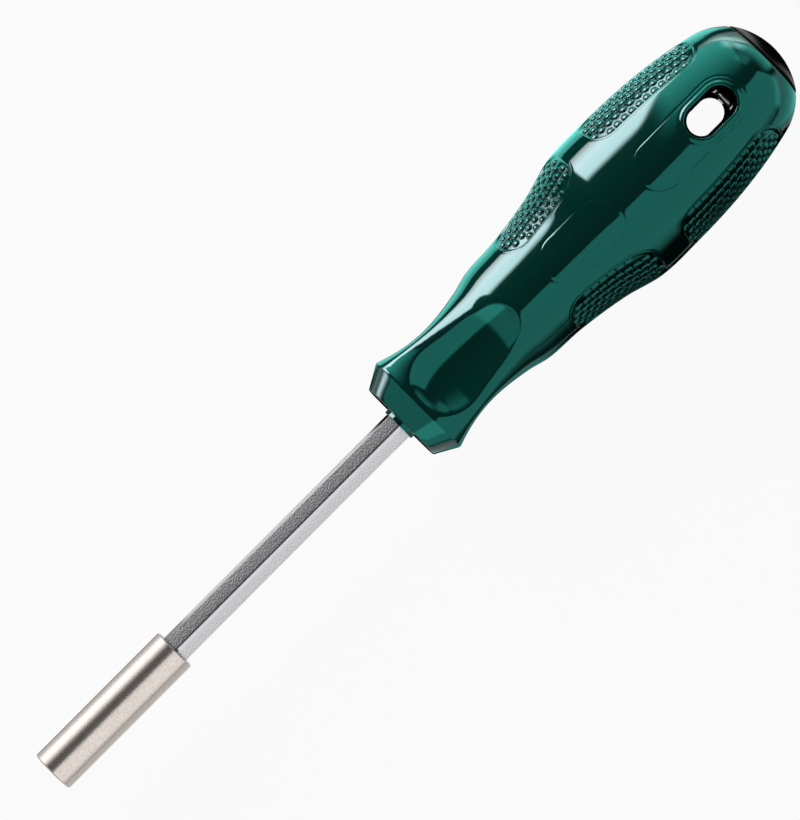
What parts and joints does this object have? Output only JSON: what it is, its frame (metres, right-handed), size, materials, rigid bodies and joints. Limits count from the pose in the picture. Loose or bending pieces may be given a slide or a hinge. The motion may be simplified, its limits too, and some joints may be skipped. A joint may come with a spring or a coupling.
{
  "type": "bit holder screwdriver",
  "caption": "Hand driver with a contoured plastic handle, hanging slot and hexagonal shaft that ends in a plain steel sleeve with a magnetic socket for hexagonal bits.",
  "frame": {"origin": "centre of the mouth of the bit socket, on the tool's axis", "axes": "+X along the tool from the mouth to the handle, +Z along the hanging hole, so that the tool lies on its side with the hole upright, +Y across it"},
  "size_m": [0.2236, 0.0364, 0.0364],
  "materials": {
    "stainless_sleeve": "turned stainless steel, satin",
    "spring_steel": "tempered spring steel, dark",
    "plated_magnet": "nickel plated",
    "plated_bar": "matt plated steel with a fine grain",
    "core_plastic": "moulded black plastic",
    "grip_plastic": "moulded green plastic, polished",
    "cap_plastic": "moulded black plastic, polished"
  },
  "bodies": {
    "root": {"bit_sleeve": "stainless_sleeve", "retaining_ring": "spring_steel", "socket_magnet": "plated_magnet", "hex_shaft": "plated_bar", "handle_core": "core_plastic", "handle_grip": "grip_plastic", "end_cap": "cap_plastic"}
  },
  "joints": []
}
